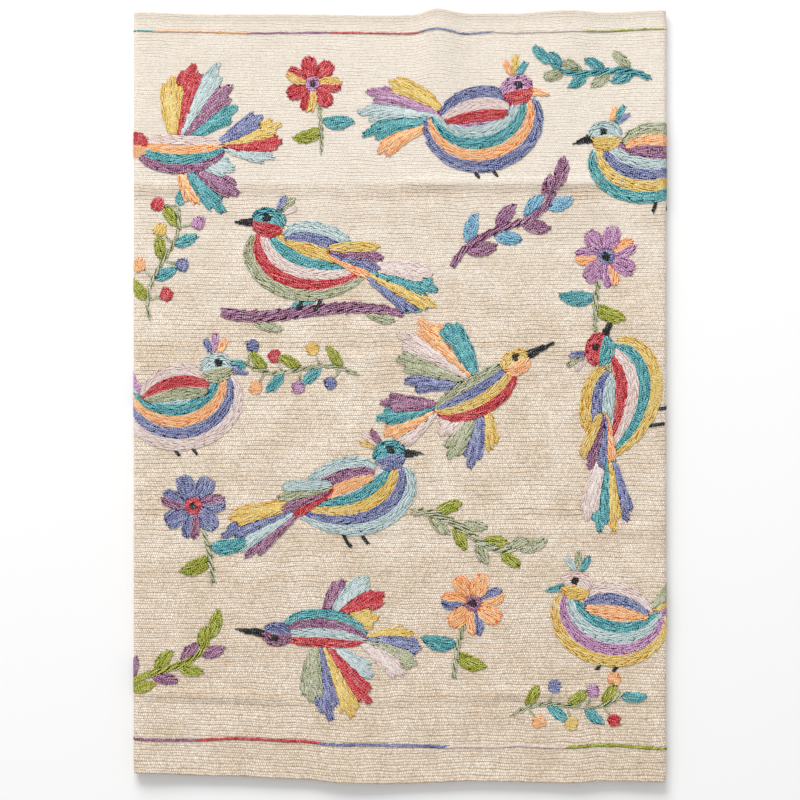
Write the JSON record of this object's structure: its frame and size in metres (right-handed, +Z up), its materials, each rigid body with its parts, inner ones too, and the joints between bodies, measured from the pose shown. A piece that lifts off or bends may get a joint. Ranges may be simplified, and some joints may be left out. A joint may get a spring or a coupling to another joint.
{
  "type": "folded area rug",
  "caption": "Hand-woven cotton area rug with wool embroidery, folded in three like a letter and lying face up.",
  "frame": {"origin": "under the middle of the folded rug's bounding box, on the surface it lies on", "axes": "+X to the right across the folds, +Y away from the viewer along the folds, +Z up out of the rug's face"},
  "size_m": [0.634, 0.9186, 0.0203],
  "materials": {
    "woven_cotton": "undyed hand-woven ribbed cotton, matt",
    "embroidery_wool": "dyed crewel wool in several colours, matt"
  },
  "bodies": {
    "root": {"rug": "woven_cotton"}
  },
  "joints": []
}
